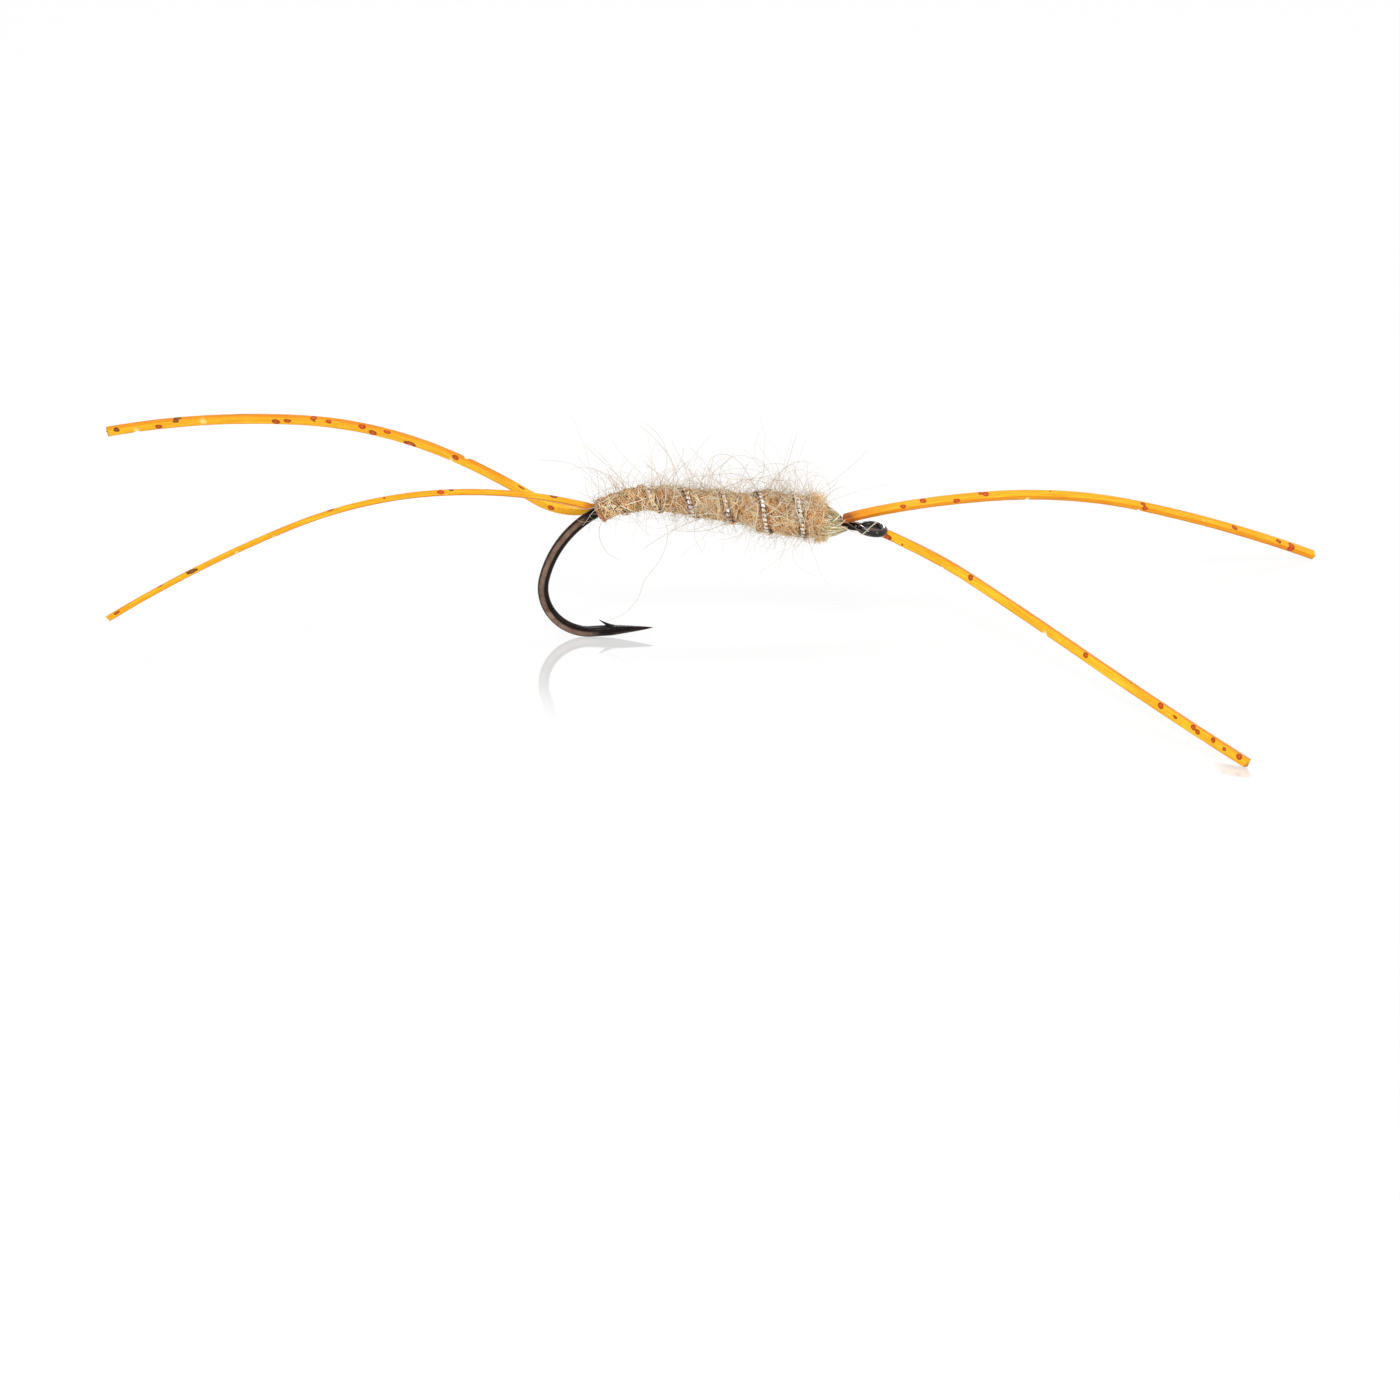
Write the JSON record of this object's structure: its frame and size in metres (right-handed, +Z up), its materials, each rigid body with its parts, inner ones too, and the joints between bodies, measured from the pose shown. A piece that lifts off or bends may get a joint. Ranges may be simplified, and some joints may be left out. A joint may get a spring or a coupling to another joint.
{
  "type": "rubber-legged fishing fly",
  "caption": "Fishing fly on a barbed hook: wound fur dubbing under a spiral tinsel rib, thread-bound rubber tail strands behind and rubber front legs beside the eye.",
  "frame": {"origin": "centre of the hook eye", "axes": "+X along the fly toward its front, +Z up as it stands, +Y to its far side"},
  "size_m": [0.0681, 0.0324, 0.0112],
  "materials": {
    "hook_wire": "bronze-black lacquered wire, forged flat round the bend",
    "brown_thread": "waxed tying thread in close turns",
    "tan_dubbing": "spun fur, rough and hairy",
    "silver_tinsel": "oval metal tinsel, bright",
    "head_thread": "tan thread wraps over fur",
    "amber_rubber": "translucent amber rubber with red-brown flecks"
  },
  "bodies": {
    "dressed_hook": {"hook": "hook_wire", "tail_binding": "brown_thread", "abdomen_dubbing": "tan_dubbing", "thorax_dubbing": "tan_dubbing", "rib_tinsel": "silver_tinsel", "head_wraps": "head_thread"},
    "near_tail_strand": {"near_tail": "amber_rubber"},
    "far_tail_strand": {"far_tail": "amber_rubber"},
    "near_leg_strand": {"near_front_leg": "amber_rubber"},
    "far_leg_strand": {"far_front_leg": "amber_rubber"}
  },
  "joints": [
    {"name": "near_tail_flex", "type": "hinge", "parent": "dressed_hook", "child": "near_tail_strand", "pos_m": [-0.01571, -0.00026, 0.00145], "axis": [-0.2588, 0.9659, 0], "range_deg": [-25, 30], "stiffness_Nm_per_rad": 0.0001},
    {"name": "far_tail_flex", "type": "hinge", "parent": "dressed_hook", "child": "far_tail_strand", "pos_m": [-0.01539, 0.00071, 0.00094], "axis": [0.2588, 0.9659, 0], "range_deg": [-20, 30], "stiffness_Nm_per_rad": 0.0001},
    {"name": "near_leg_sweep", "type": "hinge", "parent": "dressed_hook", "child": "near_leg_strand", "pos_m": [-0.00144, 0.0006, 0.00005], "axis": [0, 0, 1], "range_deg": [0, 40], "stiffness_Nm_per_rad": 0.0001},
    {"name": "far_leg_sweep", "type": "hinge", "parent": "dressed_hook", "child": "far_leg_strand", "pos_m": [-0.00133, -0.00029, 0.00076], "axis": [0, 0, 1], "range_deg": [-20, 45], "stiffness_Nm_per_rad": 0.0001}
  ]
}
